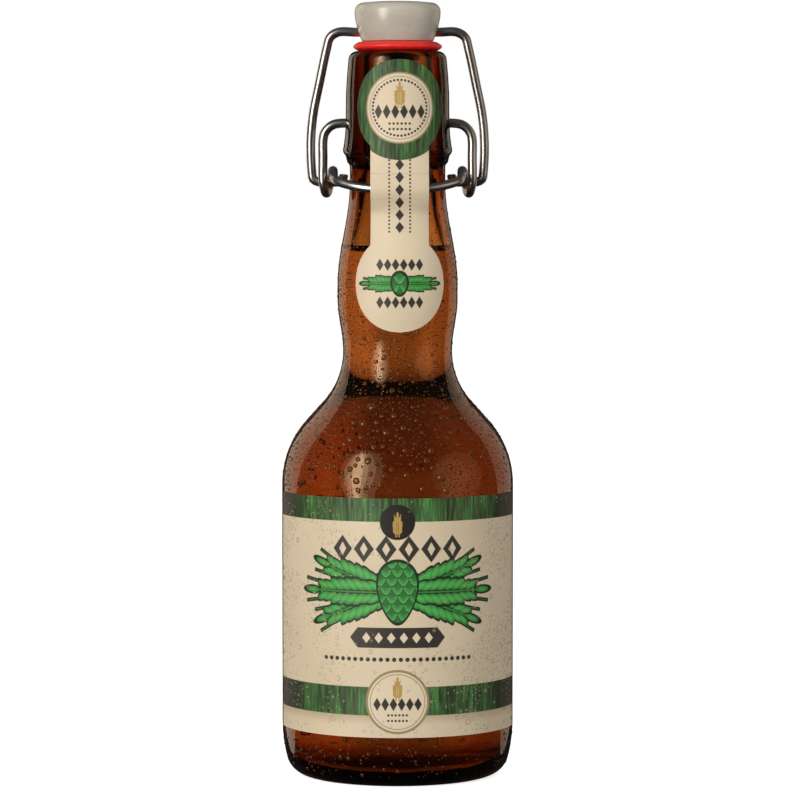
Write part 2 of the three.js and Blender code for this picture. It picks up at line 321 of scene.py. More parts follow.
def lay_floor():
    bm = bmesh.new()
    bmesh.ops.create_circle(bm, cap_ends=True, segments=64, radius=FLOOR_R)
    floor = add("floor", mesh_from("floor", bm))
    floor.data.materials.append(floor_finish())
    floor.visible_transmission = False
    floor.visible_glossy = False
    floor.visible_diffuse = False


lay_floor()
print("floor laid at z = 0")

# %% [markdown]
# ## Helpers for pieces
# Most of the bottle is turned: a half profile of radius and height is spun round the axis. A profile is built
# from arcs and smooth waves, so it needs few numbers. Wires are swept: a ring of vertices is extruded step by
# step along a smooth line. Both helpers leave closed meshes whose faces point outwards.


# %% Profiles
def arc(centre_r, centre_z, radius, start, end, steps):
    """Points of an arc between two angles in degrees; 0 points away from the axis and 90 points up."""
    angles = [math.radians(start + (end - start) * i / steps) for i in range(steps + 1)]
    return [(centre_r + radius * math.cos(a), centre_z + radius * math.sin(a)) for a in angles]


def wave(start_r, start_z, end_r, end_z, steps):
    """Points of an S-curve that leaves and arrives straight up."""
    shares = [(1 - math.cos(math.pi * i / steps)) / 2 for i in range(steps + 1)]
    lift = (end_z - start_z) / steps
    return [(start_r + (end_r - start_r) * s, start_z + lift * i) for i, s in enumerate(shares)]


# %% From a bmesh to a piece of the object
def turn(bm, profile, segments):
    verts = [bm.verts.new((r * MM, 0, z * MM)) for r, z in profile]
    edges = [bm.edges.new(pair) for pair in zip(verts, verts[1:])]
    bmesh.ops.spin(
        bm, geom=verts + edges, cent=(0, 0, 0), axis=(0, 0, 1),
        angle=2 * math.pi, steps=segments, use_merge=True,
    )
    bmesh.ops.remove_doubles(bm, verts=bm.verts, dist=1e-7)
    bmesh.ops.recalc_face_normals(bm, faces=bm.faces)


def piece(name, bm, finish, body, nodes, sharp=180):
    mesh = mesh_from(name, bm)
    mesh.shade_smooth()
    if sharp < 180:
        mesh.set_sharp_from_angle(angle=math.radians(sharp))
    mesh.materials.append(finish)
    made = add(name, mesh)
    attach(made, body)
    if nodes:
        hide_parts(*nodes)
    print(name, "has", len(mesh.polygons), "faces")
    return made


def bore_through(made, *bores):
    """Cuts bores along X out of a piece; each is radius, near and far x, and height in millimetres."""
    for radius, near, far, z in bores:
        bm = bmesh.new()
        place = Matrix.Translation(((near + far) / 2 * MM, 0, z * MM)) @ Matrix.Rotation(math.pi / 2, 4, "Y")
        bmesh.ops.create_cone(
            bm, cap_ends=True, segments=40, radius1=radius * MM, radius2=radius * MM,
            depth=(far - near) * MM, matrix=place,
        )
        cutter = add("bore", mesh_from("bore", bm))
        modifier = made.modifiers.new("bore", "BOOLEAN")
        modifier.operation = "DIFFERENCE"
        modifier.solver = "EXACT"
        modifier.object = cutter
        graph = bpy.context.evaluated_depsgraph_get()
        cut = bpy.data.meshes.new_from_object(made.evaluated_get(graph))
        made.modifiers.clear()
        made.data = cut
        bpy.data.objects.remove(cutter)


# %% Wires along a smooth line
def smooth_line(points, step):
    """Centripetal Catmull-Rom curve through points in millimetres, as evenly fine points in metres."""
    first = points[0] * 2 - points[1]
    last = points[-1] * 2 - points[-2]
    chain = [first, *points, last]
    line = []
    for a, b, c, d in zip(chain, chain[1:], chain[2:], chain[3:]):
        t1 = (b - a).length ** 0.5
        t2 = t1 + (c - b).length ** 0.5
        t3 = t2 + (d - c).length ** 0.5
        count = max(2, round((c - b).length / step))
        for i in range(count):
            t = t1 + (t2 - t1) * i / count
            ab = a.lerp(b, t / t1)
            bc = b.lerp(c, (t - t1) / (t2 - t1))
            cd = c.lerp(d, (t - t2) / (t3 - t2))
            abc = ab.lerp(bc, t / t2)
            bcd = bc.lerp(cd, (t - t1) / (t3 - t1))
            line.append(abc.lerp(bcd, (t - t1) / (t2 - t1)) * MM)
    return [*line, points[-1] * MM]


def sweep(bm, line, radius, sides=16):
    """Extrudes a capped ring along the line; the attribute run holds the length and the way round it."""
    run = bm.verts.layers.float_vector.new("run")
    ways = [(b - a).normalized() for a, b in zip([line[0], *line], [line[1], *line[1:]])]
    ways = [(a + b).normalized() for a, b in zip(ways, [*ways[1:], ways[-1]])]
    turn_to = ways[0].to_track_quat("Z", "X")
    frames = []
    for at, way in zip(line, ways):
        turn_to = (turn_to @ Vector((0, 0, 1))).rotation_difference(way) @ turn_to
        frames.append(Matrix.Translation(at) @ turn_to.to_matrix().to_4x4())
    start = bmesh.ops.create_circle(bm, cap_ends=True, segments=sides, radius=radius, matrix=frames[0])
    ring = start["verts"]
    edges = list(bm.edges)
    length = 0.0
    mark_run(ring, run, length, frames[0])
    for before, after in zip(frames, frames[1:]):
        grown = bmesh.ops.extrude_edge_only(bm, edges=edges)["geom"]
        ring = [g for g in grown if isinstance(g, bmesh.types.BMVert)]
        edges = [g for g in grown if isinstance(g, bmesh.types.BMEdge) and all(v in ring for v in g.verts)]
        bmesh.ops.transform(bm, matrix=after @ before.inverted(), verts=ring)
        length += (after.translation - before.translation).length
        mark_run(ring, run, length, after)
    bmesh.ops.edgeloop_fill(bm, edges=edges)
    bmesh.ops.recalc_face_normals(bm, faces=bm.faces)
    caps = [f for f in bm.faces if len(f.verts) == sides]
    rims = list({e for f in caps for e in f.edges})
    bmesh.ops.bevel(
        bm, geom=rims, offset=radius * 0.35, segments=3, profile=0.5,
        affect="EDGES", material=-1,
    )


def mark_run(verts, layer, length, frame_at):
    back = frame_at.inverted()
    for v in verts:
        round_it = (back @ v.co).normalized()
        v[layer] = (length / MM, round_it.x, round_it.y)


print("piece helpers ready")

# %% [markdown]
# ## Glass
# The glass is one turned wall: heel, straight body, round shoulder, waist, bulge, slim neck and a thick
# head with a flared rim. Its colour is not painted on. The wall absorbs blue and green light as it passes,
# so thick places and grazing views turn dark brown while a thin wall glows orange, as real amber glass does.

# %% Measures of the glass, millimetres
BODY_R = 33.75
# Start height, radius of the round shoulder and of the hollow above it
SHOULDER = (85, 28, 22)
# Radius, then one height or two
WAIST = (15.9, 124)
BULGE = (17.5, 139, 143)
NECK = (13.9, 173)
RIM = (15.9, 182.2)
HEAD_BOTTOM = 178.3
HEAD_R = 15
MOUTH_R = 14.3
MOUTH_ROUNDING = 2.6
LIP_ROUNDING = 2
GLASS_TOP = 211
# Top height, radius of the gentle taper and the degrees it turns
HEEL = (16, 45, 14)
PUSH_UP = 2.8
FOOT_R = 23.5
WALL = 2.6
FLOOR_Z = 6.4
FLOOR_EDGE_Z = 4.6
FLOOR_ROUNDING = 9
BORE_R = 8.4
BORE_BOTTOM = 181
INNER_NECK_R = 9.6
PIVOT_Z = 190.1
DIMPLE_R = 1.7
DIMPLE_INNER_X = 12.1
DIMPLE_OUTER_X = 17


# %% Profile of the glass
def shoulder(inset, steps):
    start, convex, concave = SHOULDER
    waist_r, waist_z = WAIST
    lower = Vector((BODY_R - convex, start))
    upper = Vector((waist_r + concave, waist_z))
    between = upper - lower
    bearing = math.atan2(between.y, between.x) - math.acos((convex + concave) / between.length)
    tangent = math.degrees(bearing)
    return [
        *arc(lower.x, lower.y, convex - inset, 0, tangent, steps),
        *arc(upper.x, upper.y, concave + inset, 180 + tangent, 180, steps),
    ]


def dome(top_z, edge_z, edge_r, steps):
    rise = top_z - edge_z
    sphere = (edge_r**2 + rise**2) / (2 * rise)
    return arc(0, top_z - sphere, sphere, 90, 90 - math.degrees(math.asin(edge_r / sphere)), steps)


def outside_of_glass():
    heel_top, taper_r, turn_deg = HEEL
    tilt = math.radians(turn_deg)
    heel_r = (heel_top - taper_r * math.sin(tilt)) / (1 - math.sin(tilt))
    heel_centre = BODY_R - taper_r + (taper_r - heel_r) * math.cos(tilt)
    waist_r, waist_z = WAIST
    bulge_r, bulge_low, bulge_high = BULGE
    rim_r, rim_z = RIM
    return [
        *dome(PUSH_UP, 0, FOOT_R, 8),
        *arc(heel_centre, heel_r, heel_r, -90, -turn_deg, 12),
        *arc(BODY_R - taper_r, heel_top, taper_r, -turn_deg, 0, 8)[1:],
        *shoulder(0, 22),
        *wave(waist_r, waist_z, bulge_r, bulge_low, 14)[1:],
        *wave(bulge_r, bulge_high, NECK[0], NECK[1], 22),
        (NECK[0], HEAD_BOTTOM - 1.2),
        *arc(NECK[0] + 1.5, HEAD_BOTTOM - 0.9, 1.5, 180, 122, 6),
        *arc(rim_r - 2.1, rim_z + 0.2, 2.1, -50, 22, 10),
        (HEAD_R + 0.55, rim_z + 2.4),
        (HEAD_R + 0.28, rim_z + 4.4),
        (HEAD_R + 0.1, rim_z + 8),
        (HEAD_R, GLASS_TOP - 12),
        (HEAD_R - 0.3, GLASS_TOP - 7),
        *arc(MOUTH_R - MOUTH_ROUNDING, GLASS_TOP - MOUTH_ROUNDING, MOUTH_ROUNDING, 0, 90, 9),
        *arc(BORE_R + LIP_ROUNDING, GLASS_TOP - LIP_ROUNDING, LIP_ROUNDING, 90, 180, 8),
    ]


def inside_of_glass(inset):
    corner_r = BODY_R - WALL - FLOOR_ROUNDING
    waist_r, waist_z = WAIST
    bulge_r, bulge_low, bulge_high = BULGE
    wall = WALL + inset
    return [
        *dome(FLOOR_Z + inset, FLOOR_EDGE_Z + inset, corner_r, 8),
        *arc(corner_r, FLOOR_EDGE_Z + FLOOR_ROUNDING, FLOOR_ROUNDING - inset, -90, 0, 10)[1:],
        *shoulder(wall, 18),
        *wave(waist_r - wall, waist_z, bulge_r - wall, bulge_low, 12)[1:],
        *wave(bulge_r - wall, bulge_high, INNER_NECK_R - inset, NECK[1], 18),
        (BORE_R + 0.3 - inset, BORE_BOTTOM - 2.5),
        (BORE_R - inset, BORE_BOTTOM),
    ]


OUTSIDE = outside_of_glass()
print("glass profile has", len(OUTSIDE), "outer points, highest", max(z for _, z in OUTSIDE), "mm")


# %% Finish of the glass
def amber_glass():
    finish = Finish("amber_glass")
    x, y, z = finish.place()
    ripple = finish.noise(finish.vector(x, y, z * 0.35), 0.09, 1.0)
    return finish.shade(
        Base_Color=(1.0, 0.97, 0.92), Roughness=0.015, IOR=1.52, Transmission_Weight=1.0,
        Specular_Tint=(1.0, 0.76, 0.5),
        Normal=finish.bump(ripple, 0.25, 1.0),
        volume=((0.677, 0.419, 0.032), 545.0),
    )


def make_glass():
    bm = bmesh.new()
    turn(bm, [*OUTSIDE, *reversed(inside_of_glass(0))], 144)
    made = piece("glass_bottle", bm, amber_glass(), "bottle", ["bottle"])
    right = (DIMPLE_R, DIMPLE_INNER_X, DIMPLE_OUTER_X, PIVOT_Z)
    left = (DIMPLE_R, -DIMPLE_OUTER_X, -DIMPLE_INNER_X, PIVOT_Z)
    bore_through(made, right, left)


make_glass()

# %% [markdown]
# ## Beer
# The drink fills the glass to a little above the bulge of the neck. It reaches a tenth of a millimetre into
# the wall, because the smallest gap would show as a silver skin of air. Where it meets the glass its
# surface climbs a little, which the light shows as a dark line.

# %% Measures of the beer, millimetres
BEER_LEVEL = 154.5
MENISCUS = 2.1
MENISCUS_REACH = 0.75
REACH_INTO_WALL = 0.12


# %% Beer
def clear_beer():
    finish = Finish("clear_beer")
    x, y, z = finish.place()
    haze = finish.noise(finish.vector(x, y, z), 0.05)
    colour = finish.mix(haze, (1.0, 0.98, 0.95), (1.0, 0.95, 0.88))
    return finish.shade(
        Base_Color=colour, Roughness=0.0, IOR=1.335, Transmission_Weight=1.0,
        volume=((0.63, 0.3, 0.058), 55.0),
    )


def make_beer():
    wall = inside_of_glass(-REACH_INTO_WALL)
    wet = [p for p in wall if p[1] < BEER_LEVEL]
    (r0, z0), (r1, z1) = wet[-1], wall[len(wet)]
    top_r = r0 + (r1 - r0) * (BEER_LEVEL - z0) / (z1 - z0)
    surface = []
    for t in (0, 0.15, 0.35, 0.6, 1.0, 1.6, 2.5, 4):
        surface.append((top_r - t, BEER_LEVEL - MENISCUS * (1 - math.exp(-t / MENISCUS_REACH))))
    bm = bmesh.new()
    turn(bm, [*wet, *surface, (0, BEER_LEVEL - MENISCUS)], 128)
    piece("beer_fill", bm, clear_beer(), "bottle", ["beer"])


make_beer()

# %% [markdown]
# ## Wires
# Two bent steel wires hold the stopper. The lower one is the lever: it turns in two dimples of the head,
# loops round into an eye on each side and runs on as a bow in front of the neck. The upper one hooks into
# the eyes and passes through the stopper. Half of each line is listed and then mirrored.

# %% Measures of the closure, millimetres
WIRE_R = 1.35
WIRE_END_X = 12.6
LEG_X = 21.7
LEG_BEND = 5
EYE_Y = 2.0
EYE_Z = 173.1
EYE_R = 3.3
EYE_PITCH = 2.9
EYE_POINTS = 12
EYE_STEP = 25
BOW_HALF_WIDTH = 21
BOW_FRONT = 15.7
BOW_Z = 171.0
BOW_LIFT = 4.2
BAIL_Z = 216.5
BAIL_HALF = (
    (15.7, 175.3), (15.9, 174), (17, EYE_Z), (20, EYE_Z), (23.1, EYE_Z), (24.6, 173.9), (25, 176.1),
    (25.3, 184), (24.6, 192.5), (22.7, 202), (20.6, 211.8), (19.6, 215), (17.2, BAIL_Z), (12, BAIL_Z),
    (4, BAIL_Z),
)


# %% Finish of the wire
def drawn_steel():
    finish = Finish("drawn_steel")
    run = finish.node("ShaderNodeAttribute", {"attribute_name": "run"}, None, 1)
    along, side, across = finish.split(run)
    lines = finish.noise(finish.vector(along * 0.05, side * 9, across * 9), 1.0, 4.0, 0.65)
    tarnish = finish.noise(finish.vector(along * 0.12, side, across), 1.0, 3.0)
    colour = finish.mix(tarnish.rise(0.35, 0.7), (0.42, 0.42, 0.425), (0.6, 0.6, 0.6))
    return finish.shade(
        Base_Color=colour, Metallic=1.0, Roughness=0.22 + lines * 0.16,
        Normal=finish.bump(lines, 0.25, 0.03),
    )


STEEL = drawn_steel()


# %% Wires
def mirrored(half):
    return [*half, *(Vector((-p.x, p.y, p.z)) for p in reversed(half))]


def lever_line():
    corner = [Vector((x, 0, z)) for x, z in arc(LEG_X - LEG_BEND, PIVOT_Z - LEG_BEND, LEG_BEND, 90, 0, 4)]
    leg = Vector((LEG_X, (EYE_Y - EYE_R) / 2, PIVOT_Z - 2 * LEG_BEND))
    eye = []
    for i in range(EYE_POINTS):
        angle = math.radians(180 + EYE_STEP * i)
        y, z = EYE_Y + EYE_R * math.cos(angle), EYE_Z + EYE_R * math.sin(angle)
        eye.append(Vector((LEG_X - EYE_PITCH * i / (EYE_POINTS - 1), y, z)))
    bow = []
    for degrees in (58, 42, 26, 10):
        angle = math.radians(degrees)
        lift = BOW_LIFT * math.sin(angle) ** 3
        bow.append(Vector((BOW_HALF_WIDTH * math.sin(angle), -BOW_FRONT * math.cos(angle), BOW_Z + lift)))
    return mirrored([Vector((WIRE_END_X, 0, PIVOT_Z)), *corner, leg, *eye, *bow])


def bail_line():
    tilt = EYE_Y / (BAIL_Z - EYE_Z)
    return mirrored([Vector((x, tilt * (BAIL_Z - z), z)) for x, z in BAIL_HALF])


def make_wire(name, line, body, node):
    bm = bmesh.new()
    sweep(bm, smooth_line(line, 0.7), WIRE_R * MM)
    piece(name, bm, STEEL, body, [node], sharp=50)


make_wire("lever_wire", lever_line(), "lever", "lower_bail")
make_wire("bail_wire", bail_line(), "bail", "upper_bail")

# %% [markdown]
# ## Stopper and washer
# The stopper is a glazed plug that widens upwards to a rounded top. A hole lets the wire through, and a boss
# under it carries the red washer, whose soft rim bulges out as it is squeezed.


# %% Stopper
def glazed_white():
    finish = Finish("glazed_white")
    x, y, z = finish.place()
    cloud = finish.noise(finish.vector(x, y, z), 0.12, 3.0)
    colour = finish.mix(cloud.rise(0.1, 0.9), (0.375, 0.35, 0.30), (0.43, 0.405, 0.355))
    pits = finish.noise(finish.vector(x, y, z), 2.2, 2.0)
    return finish.shade(
        Base_Color=colour, Roughness=0.22 + cloud * 0.12, Coat_Weight=0.35, Coat_Roughness=0.1,
        Subsurface_Weight=0.12, Subsurface_Radius=Vector((0.004, 0.003, 0.002)), Subsurface_Scale=1.0,
        Normal=finish.bump(pits, 0.12, 0.05),
    )


def make_stopper():
    profile = [
        (0, 207.5), (5.6, 207.5), *arc(5.7, 208.4, 0.9, -90, 0, 5),
        (6.6, 209.7), *arc(6.1, 209.9, 0.5, 0, 60, 3),
        (5.8, 210.6), (5.8, 213.75), *arc(10.0, 214.2, 0.45, -90, -12, 5),
        (10.85, 215), (11.3, 216.1), (11.8, 217.9), (12.15, 219.4), (12.4, 220.8),
        *arc(9.9, 222.4, 2.6, -4, 78, 12), (7, 225.25), (3, 225.38), (0, 225.4),
    ]
    bm = bmesh.new()
    turn(bm, profile, 128)
    made = piece("stopper_plug", bm, glazed_white(), "stopper", ["stopper"])
    bore_through(made, (WIRE_R + 0.3, -14, 14, BAIL_Z))


make_stopper()


# %% Washer
def red_rubber():
    finish = Finish("red_rubber")
    x, y, z = finish.place()
    bloom = finish.noise(finish.vector(x, y, z), 0.5, 3.0)
    colour = finish.mix(bloom.rise(0.35, 0.7), (0.68, 0.018, 0.015), (0.76, 0.03, 0.025))
    return finish.shade(
        Base_Color=colour, Roughness=0.34 + bloom * 0.15, Normal=finish.bump(bloom, 0.1, 0.1),
        Subsurface_Weight=0.7, Subsurface_Radius=Vector((0.006, 0.0008, 0.0006)), Subsurface_Scale=1.0,
    )


def make_washer():
    bulge = arc(12.25, 212.3, 0.65, -50, 50, 8)
    outer = [(11.4, 211.05), (12.15, 211.45), *bulge, (12.15, 213.15), (11.4, 213.6)]
    loop = [(6.1, 211.05), *outer, (6.1, 213.6), (6.1, 211.05)]
    bm = bmesh.new()
    turn(bm, loop, 112)
    piece("washer_ring", bm, red_rubber(), "stopper", ["washer"])


make_washer()

# %% [markdown]
# ## Printed paper
# The label and the seal are cream paper with a green wood-grain band, dark and green ornaments and small gold
# ones. The print is drawn by formula: each shape is a distance in millimetres, negative inside, so an outline
# is the same shape grown by half a millimetre. Barley ears, a hop cone and plain lozenges fill the places.

# %% Colours of the print
CREAM = (0.6, 0.51, 0.37)
CREAM_SHADE = (0.53, 0.445, 0.315)
CHARCOAL = (0.03, 0.026, 0.022)
LEAF_GREEN = (0.03, 0.22, 0.035)
LEAF_LIGHT = (0.06, 0.35, 0.07)
LEAF_DEEP = (0.02, 0.13, 0.025)
OUTLINE_GREEN = (0.008, 0.022, 0.008)
GOLD = (0.38, 0.24, 0.06)
OLIVE_GOLD = (0.25, 0.2, 0.1)


# %% Shapes as distances
def square(value):
    return value * value


def disc(u, v, radius):
    return (square(u) + square(v)) ** 0.5 - radius


def box(u, v, half_width, half_height):
    return (abs(u) - half_width) | (abs(v) - half_height)


def lozenge(u, v, half_width, half_height):
    slimness = half_width * half_height / math.hypot(half_width, half_height)
    return (abs(u) / half_width + abs(v) / half_height - 1) * slimness


def repeat(u, pitch):
    """Distance to the middle of the nearest of equal steps."""
    return ((u / pitch).rest() - 0.5) * pitch


def oval(along_share, across_share, half_width):
    """An oval from two distances given as shares of its half sizes."""
    return disc(along_share, across_share, 1.0) * half_width


def leaf(along, across, length, half_width):
    return oval(along / length * 2 - 1, across / half_width, half_width)


def lean(along, across, degrees):
    c, s = math.cos(math.radians(degrees)), math.sin(math.radians(degrees))
    return along * c + across * s, across * c - along * s


def grains(along, across, length, pitch, reach):
    """Pairs of pointed grains that lean outwards, smaller towards both ends of the ear."""
    middle = ((along / pitch).cell() + 0.5) * pitch
    swell = 1.08 - square((middle - length * 0.42) / length) * 1.6
    grain_along, grain_across = lean(along - middle, abs(across) / swell - reach * 0.46, 30)
    half_width = reach * 0.26
    bodies = oval(grain_along / (pitch * 0.5), grain_across / half_width, half_width)
    return bodies | (-along - pitch * 0.5) | (along - length)


def ear(along, across, length, pitch, reach):
    """A barley ear: two sets of grains that overlap, a stem, a grain at the tip and two long bristles."""
    pairs = grains(along, across, length, pitch, reach)
    pairs = pairs & grains(along + pitch / 2, across, length, pitch, reach)
    stem = box(along - length * 0.4, across, length * 0.6, 0.2)
    tip = leaf(along - length * 0.92, across, pitch * 1.1, reach * 0.2)
    bristle_along, bristle_across = lean(along - length * 0.5, abs(across) - reach * 0.3, 9)
    bristle = box(bristle_along - length * 0.33, bristle_across, length * 0.33, 0.07)
    return pairs & stem & tip & bristle


def ink(distance):
    return distance.rise(0.07, -0.07)


# %% Paper, wood grain and hop cone
def cream_paper(finish, u, v):
    fibre = finish.noise(finish.vector(u * 0.9, v * 2.6), 1.0, 4.0, 0.6)
    soft = finish.noise(finish.vector(u * 0.05, v * 0.05), 1.0, 2.0)
    return finish.mix((fibre * 0.5 + soft * 0.6).rise(0.3, 0.8), CREAM_SHADE, CREAM)


def green_wood(finish, u, v, fade):
    streak = finish.noise(finish.vector(u * 1.25, v * 0.1), 1.0, 5.0, 0.65)
    board = finish.noise(finish.vector(u * 0.16, 3.0), 1.0, 1.0)
    stops = (
        (0.3, (0.009, 0.013, 0.008)), (0.42, (0.018, 0.042, 0.013)),
        (0.52, (0.045, 0.105, 0.03)), (0.66, (0.06, 0.28, 0.06)),
    )
    tone = (streak * 0.75 + board * 0.4 - 0.08) * fade
    return finish.node("ShaderNodeValToRGB", {"stops": stops}, {0: tone})


def hop_cone(finish, colour, u, v, half_width, half_height):
    """A hop cone over colour: an egg of overlapping rounded scales with a dark outline."""
    egg = oval(u / (v * 0.03 + 1) / half_width, v / half_height, half_width)
    rows = (v + half_height) / 2.5
    across = (u / 3.3 + (rows.cell() * 0.5).rest()).rest() - 0.5
    upper = rows.rest() - square(across) * 3.4
    lower = rows.rest() + 1 - square(abs(across) - 0.5) * 3.4
    hidden = upper.rise(0.0, -0.01)
    depth = upper * (1 - hidden) + lower * hidden
    scales = finish.mix(depth.rise(0.0, 1.1), LEAF_LIGHT, LEAF_DEEP)
    scales = finish.mix(abs(depth).rise(0.2, 0.08), scales, OUTLINE_GREEN)
    colour = finish.mix(ink(egg - 0.55), colour, OUTLINE_GREEN)
    return finish.mix(ink(egg), colour, scales)


def outlined_green(finish, colour, shape, rim=0.5):
    colour = finish.mix(ink(shape - rim), colour, OUTLINE_GREEN)
    return finish.mix(ink(shape), colour, finish.mix(shape.rise(-0.15, -0.7), LEAF_GREEN, LEAF_LIGHT))


def on_paper(finish, colour, u, v):
    """The print on slightly rough paper fibres."""
    fibre = finish.noise(finish.vector(u, v), 2.4, 3.0)
    rough = 0.42 + fibre * 0.25
    return finish.shade(Base_Color=colour, Roughness=rough, Normal=finish.bump(fibre, 0.2, 0.04))


print("print shapes ready")

# %% [markdown]
# ### Front label
# The label wraps a little less than half of the body. It is spun from one upright edge, so it follows the
# glass, and is given the thickness of wet-glued paper.

# %% Measures of the front label, millimetres
# Bottom, top, and the degrees it reaches to each side
LABEL = (15, 83.4, 78.5)
UPPER_BAND = 76.7
LOWER_BAND = (21.3, 29.5)
WORD_Z = 68.9
GREEN_Z = 56.6
RIBBON_Z = 43.6
PEARLS_Z = 37.4
# Height and radius
ROUNDEL = (25.3, 9.2)


# %% Print of the front label
def front_print():
    finish = Finish("printed_label")
    x, y, z = finish.place()
    u = x.angle_to(-y) * (BODY_R + 0.2)
    colour = cream_paper(finish, u, z)
    fade = abs(u).rise(46, 26) * 0.45 + 0.55
    low, high = LOWER_BAND
    band = ink(UPPER_BAND - z) | ink(box(u, z - (low + high) / 2, 90, (high - low) / 2))
    shadow = (z - low).rise(-3.2, 0.0) * (z - low).rise(0.1, -0.1)
    colour = finish.mix(shadow * 0.5, colour, (0.3, 0.22, 0.13))
    colour = finish.mix(band, colour, green_wood(finish, u, z, fade))

    word_z = z - WORD_Z
    row = lozenge(repeat(u, 6.5), word_z, 3.0, 3.9) | box(u, word_z, 19.4, 5)
    slit = lozenge(repeat(u, 6.5), word_z, 1.1, 1.9) - 0.02
    ribbon_z = z - RIBBON_Z
    ribbon = box(u, ribbon_z, 15.4, 2.9) | (abs(u) + abs(ribbon_z) * 0.8 - 13.9)
    pearls = disc(repeat(u, 1.9), z - PEARLS_Z, 0.62) | box(u, z, 22.5, 99)
    colour = finish.mix(ink(row | -slit) | ink(pearls), colour, CHARCOAL)
    colour = finish.mix(ink(ribbon), colour, CHARCOAL)
    beads = lozenge(repeat(u, 3.6), ribbon_z, 1.2, 1.55) | box(u, ribbon_z, 10.8, 5)
    colour = finish.mix(ink(beads), colour, CREAM)

    side, green_z = abs(u), z - GREEN_Z
    raised_along, raised_across = lean(side - 5.2, abs(green_z) - 1.2, 21)
    colour = outlined_green(finish, colour, ear(raised_along, raised_across, 18.0, 4.6, 4.2))
    colour = outlined_green(finish, colour, ear(side - 6.6, green_z, 19.5, 4.6, 4.2))
    colour = hop_cone(finish, colour, u, green_z, 5.4, 8.6)

    small = disc(u, z - 76.6, 5.05)
    colour = finish.mix(ink(small), colour, (0.012, 0.012, 0.01))
    colour = finish.mix(ink(ear(z - 73.9, u, 4.3, 1.5, 1.7)), colour, GOLD)

    v = z - ROUNDEL[0]
    edge = disc(u, v, ROUNDEL[1])
    colour = finish.mix(ink(edge), colour, OLIVE_GOLD)
    colour = finish.mix(ink(edge + 0.7), colour, CREAM)
    colour = finish.mix(ink(abs(edge + 1.35) - 0.12), colour, OLIVE_GOLD)
    colour = finish.mix(ink(ear(v - 1.9, u, 4.0, 1.5, 1.7)), colour, GOLD)
    plate = lozenge(repeat(u, 2.35), v + 0.7, 1.1, 1.9) | box(u, v, 7.05, 9)
    fine = disc(repeat(u, 1.05), abs(v + 4.6) - 0.8, 0.34) | box(u, v, 3.15, 9)
    colour = finish.mix(ink(plate) | ink(fine), colour, CHARCOAL)
    return on_paper(finish, colour, u, z)


# %% Front label
def make_front_label():
    low, high, half = LABEL
    inner, thickness = BODY_R + 0.03, 0.17
    start = math.radians(-90 - half)
    foot = Vector((inner * math.cos(start), inner * math.sin(start), low)) * MM
    bm = bmesh.new()
    ends = [bm.verts.new(foot), bm.verts.new(foot + Vector((0, 0, (high - low) * MM)))]
    edge = bm.edges.new(ends)
    bmesh.ops.spin(
        bm, geom=[*ends, edge], cent=(0, 0, 0), axis=(0, 0, 1),
        angle=math.radians(2 * half), steps=110, use_merge=False,
    )
    give_thickness(bm, thickness)
    return piece("front_paper", bm, front_print(), "bottle", ["front_label"], sharp=40)


def give_thickness(bm, thickness):
    """Turns an upright sheet to face away from the axis and thickens it outwards."""
    bmesh.ops.recalc_face_normals(bm, faces=bm.faces)
    first = next(iter(bm.faces))
    middle = first.calc_center_median()
    if first.normal.x * middle.x + first.normal.y * middle.y > 0:
        bmesh.ops.reverse_faces(bm, faces=bm.faces)
    bmesh.ops.solidify(bm, geom=list(bm.faces), thickness=thickness * MM)
    bmesh.ops.recalc_face_normals(bm, faces=bm.faces)


label = make_front_label()
reach = max(math.hypot(v.co.x, v.co.y) for v in label.data.vertices) / MM
print("label reaches", round(reach, 2), "mm from the axis, the frame", round(-cad_low[1] / MM, 2))

# %% [markdown]
# ### Seal over the closure
# A strap of paper with a disc at each end runs from the head down over the wire to the bulge of the neck. It
# is cut flat, as a printer would cut it, and then bent: every point keeps its flat place in the attribute
# flat, so the print bends with the paper. Two cuts by the wire let the lever take the middle piece with it.

# %% Measures of the seal, millimetres
SEAL_X = 0.6
SEAL_DISC_R = 14
SEAL_STRAP = 8.75
SEAL_HEAD_Z = 194.3
SEAL_NECK_Z = 143.9
SEAL_CUTS = (168.15, 175.45)
SEAL_GAP = 0.02
# Height and radius of the paper where it is off the glass; 0 means on the glass
SEAL_LINE = (
    (164, 0), (166.4, 15.42), (168.2, 16.25), (170, 17.1), (172, 17.15), (175.5, 16.85), (179, 16.4),
    (182.2, 15.9),
)


# %% Run of the seal
def glass_radius(z):
    spans = [(a, b) for a, b in zip(OUTSIDE, OUTSIDE[1:]) if a[1] <= z < b[1]]
    return max(r0 + (r1 - r0) * (z - z0) / (z1 - z0) for (r0, z0), (r1, z1) in spans)


def seal_radius(z):
    """Where the paper lies: on the glass, and lifted off it where it crosses the wire."""
    line = [(h, r or glass_radius(h)) for h, r in SEAL_LINE]
    if z <= line[0][0] or z >= line[-1][0]:
        return glass_radius(z)
    for (z0, r0), (z1, r1) in zip(line, line[1:]):
        if z < z1:
            return r0 + (r1 - r0) * (z - z0) / (z1 - z0)


def smooth_seal_radius(z):
    near = [seal_radius(min(z + d, 209.0)) for d in (-1.2, -0.8, -0.4, 0, 0.4, 0.8, 1.2)]
    return max(sum(near) / len(near), seal_radius(z) - 0.02)


def bend(x, z):
    radius = smooth_seal_radius(z) + 0.12
    rise = min(max((z - 164) / 4.2, 0), 1) * min(max((182 - z) / 6.5, 0), 1)
    flattening = 1 + 0.32 * rise * rise * (3 - 2 * rise)
    across = SEAL_X + radius * math.sin(x / radius)
    return Vector((across, -radius * math.sqrt(1 - (across / radius / flattening) ** 2), z)) * MM


print("seal stands off by", round(smooth_seal_radius(171) - glass_radius(171), 2), "mm over the wire")


